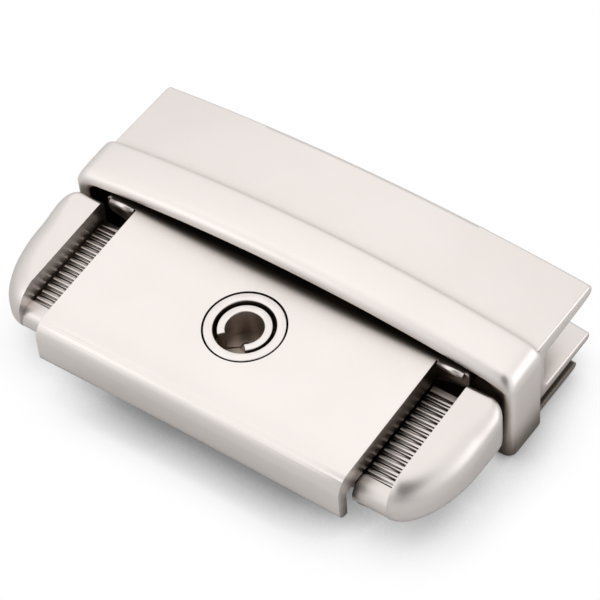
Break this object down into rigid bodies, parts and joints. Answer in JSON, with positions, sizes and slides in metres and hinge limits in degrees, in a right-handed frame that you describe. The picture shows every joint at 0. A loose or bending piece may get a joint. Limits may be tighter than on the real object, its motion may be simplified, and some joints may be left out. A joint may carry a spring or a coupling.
{
  "type": "bag tuck lock",
  "caption": "Push-button tuck lock for a bag flap: sloped case with ribbed squeeze buttons and a key barrel, closed by an arched flap bar with a leather channel and a pronged tongue.",
  "frame": {"origin": "centre of the lock's outline on the bag's surface", "axes": "+X along the flap bar, +Y towards the flap, +Z away from the bag"},
  "size_m": [0.0574, 0.0358, 0.0144],
  "materials": {
    "nickel": "satin nickel plate",
    "nickel_dark": "plain nickel plate",
    "spring_steel": "bright drawn"
  },
  "bodies": {
    "case": {"case_cover": "nickel", "base_plate": "nickel_dark", "base_screws": "spring_steel", "guide_pins": "spring_steel", "key_sleeve": "nickel", "sleeve_nut": "nickel_dark", "catch_spring": "spring_steel", "left_return_spring": "spring_steel", "right_return_spring": "spring_steel"},
    "left_button": {"left_button": "nickel"},
    "right_button": {"right_button": "nickel"},
    "key_barrel": {"key_barrel": "nickel", "lock_cam": "nickel_dark", "cam_clip": "spring_steel"},
    "flap": {"flap_bar": "nickel", "flap_channel": "nickel", "tongue": "nickel_dark", "tongue_rivets": "spring_steel", "channel_screws": "spring_steel"}
  },
  "joints": [
    {"name": "left_button_press", "type": "slide", "parent": "case", "child": "left_button", "axis": [1, 0, 0], "range_m": [0, 0.002], "stiffness_N_per_m": 400, "deforming": ["catch_spring", "left_return_spring"]},
    {"name": "right_button_press", "type": "slide", "parent": "case", "child": "right_button", "axis": [-1, 0, 0], "range_m": [0, 0.002], "stiffness_N_per_m": 400, "deforming": ["right_return_spring"]},
    {"name": "key_turn", "type": "hinge", "parent": "case", "child": "key_barrel", "pos_m": [0, -0.00647, 0.006], "axis": [0, 0, 1], "range_deg": [0, 90]},
    {"name": "flap_pull", "type": "slide", "parent": "case", "child": "flap", "axis": [0, 1, 0], "range_m": [0, 0.014]}
  ]
}
